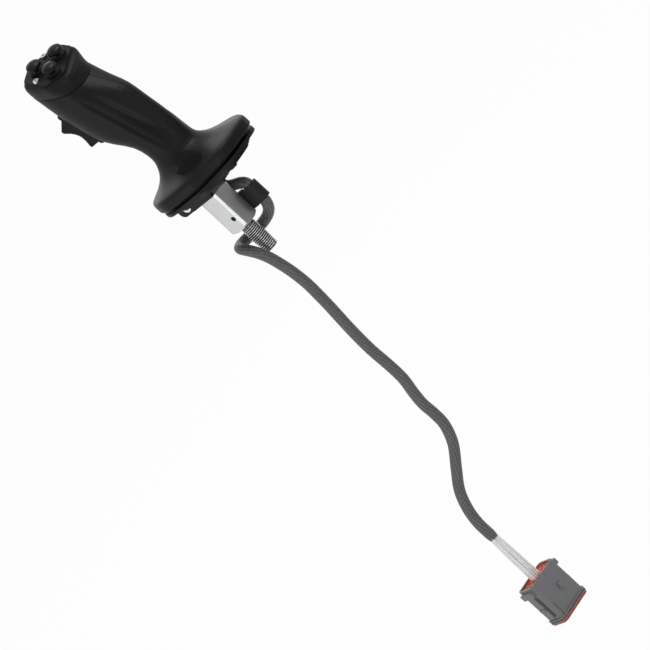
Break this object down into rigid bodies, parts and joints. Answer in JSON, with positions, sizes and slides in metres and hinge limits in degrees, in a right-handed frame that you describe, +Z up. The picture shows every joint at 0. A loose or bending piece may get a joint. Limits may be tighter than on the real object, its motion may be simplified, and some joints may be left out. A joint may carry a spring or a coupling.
{
  "type": "industrial joystick",
  "caption": "Pistol-grip joystick with thumb buttons and a trigger on a square stem with a threaded stud, and a clipped cable that ends in a sealed plug.",
  "frame": {"origin": "centre of the shoulder where the threaded stud meets the square bar", "axes": "+Z up the bar towards the grip, +Y towards the trigger side (front), -X towards the operator's left"},
  "size_m": [0.1224, 0.1446, 0.7076],
  "materials": {
    "bar_aluminium": "drawn aluminium bar, machined end, soft sheen",
    "black_casting": "black powder coat over a zinc casting",
    "steel": "bright zinc-plated steel",
    "dark_screws": "black oxide steel",
    "spring_steel": "drawn spring wire",
    "black_plastic": "moulded black plastic, fine texture",
    "grip_plastic": "moulded black plastic with a fine matte grain",
    "face_plastic": "smooth black plastic",
    "trigger_plastic": "smooth black plastic",
    "cap_plastic": "satin dark plastic",
    "collar_plastic": "black plastic",
    "switch_plastic": "dark moulded plastic",
    "plunger_plastic": "pale acetal",
    "gland_rubber": "soft black rubber",
    "clip_rubber": "black rubber cushion band",
    "board_laminate": "green lacquered laminate",
    "terminal_plastic": "pale nylon",
    "wire_sheath": "grey cable jacket",
    "sleeve_braid": "dark braided monofilament sleeve",
    "wire_white": "white wire insulation",
    "connector_grey": "glass-filled grey plastic",
    "seal_orange": "orange silicone",
    "wedge_orange": "orange plastic",
    "contact_brass": "plated brass"
  },
  "bodies": {
    "handle": {"mounting_bar": "bar_aluminium", "base_casting": "black_casting", "pinch_screw": "steel", "pinch_nut": "steel", "boot_plate": "black_plastic", "spacer_ring": "black_plastic", "plate_screws": "dark_screws", "base_screws": "dark_screws", "cable_gland": "gland_rubber", "shell_left": "grip_plastic", "shell_right": "grip_plastic", "shell_screws": "steel", "head_housing": "grip_plastic", "face_plate": "face_plastic", "face_plate_screws": "dark_screws", "button_collar_front": "collar_plastic", "button_collar_right": "collar_plastic", "button_collar_left": "collar_plastic", "switch_body_front": "switch_plastic", "switch_body_right": "switch_plastic", "switch_body_left": "switch_plastic", "return_spring_front": "spring_steel", "return_spring_right": "spring_steel", "return_spring_left": "spring_steel", "trigger_bezel": "face_plastic", "trigger_pin": "steel", "trigger_spring": "spring_steel", "trigger_switch": "switch_plastic", "switch_screws": "steel", "circuit_board": "board_laminate", "terminal_block": "terminal_plastic", "board_screws": "steel", "inner_harness": "wire_sheath", "cable_clip": "clip_rubber", "clip_plate": "steel", "clip_screw": "steel", "cable_sleeve": "sleeve_braid", "wire_bundle": "wire_white", "connector_housing": "connector_grey", "connector_rear_seal": "seal_orange", "connector_front_seal": "seal_orange", "connector_wedge": "wedge_orange", "connector_lock": "wedge_orange", "connector_contacts": "contact_brass"},
    "trigger": {"trigger": "trigger_plastic"},
    "switch_plunger": {"switch_plunger": "plunger_plastic"},
    "button_front": {"button_cap_front": "cap_plastic"},
    "button_right": {"button_cap_right": "cap_plastic"},
    "button_left": {"button_cap_left": "cap_plastic"}
  },
  "joints": [
    {"name": "trigger_pull", "type": "hinge", "parent": "handle", "child": "trigger", "pos_m": [0, 0.041, 0.181], "axis": [-1, 0, 0], "range_deg": [0, 6], "stiffness_Nm_per_rad": 0.6, "springref_deg": -6.88, "deforming": ["trigger_spring"]},
    {"name": "plunger_press", "type": "slide", "parent": "handle", "child": "switch_plunger", "axis": [0, -1, 0], "range_m": [0, 0.00325]},
    {"name": "button_front_press", "type": "slide", "parent": "handle", "child": "button_front", "axis": [0.1819, 0.3797, -0.907], "range_m": [0, 0.002], "stiffness_N_per_m": 1200, "springref_m": -0.0012, "deforming": ["return_spring_front"]},
    {"name": "button_right_press", "type": "slide", "parent": "handle", "child": "button_right", "axis": [0.1819, 0.3797, -0.907], "range_m": [0, 0.002], "stiffness_N_per_m": 1200, "springref_m": -0.0012, "deforming": ["return_spring_right"]},
    {"name": "button_left_press", "type": "slide", "parent": "handle", "child": "button_left", "axis": [0.1819, 0.3797, -0.907], "range_m": [0, 0.002], "stiffness_N_per_m": 1200, "springref_m": -0.0012, "deforming": ["return_spring_left"]}
  ],
  "couplings": [
    {"joint": "plunger_press", "follows": "trigger_pull", "m_per_rad": 0.0306}
  ]
}
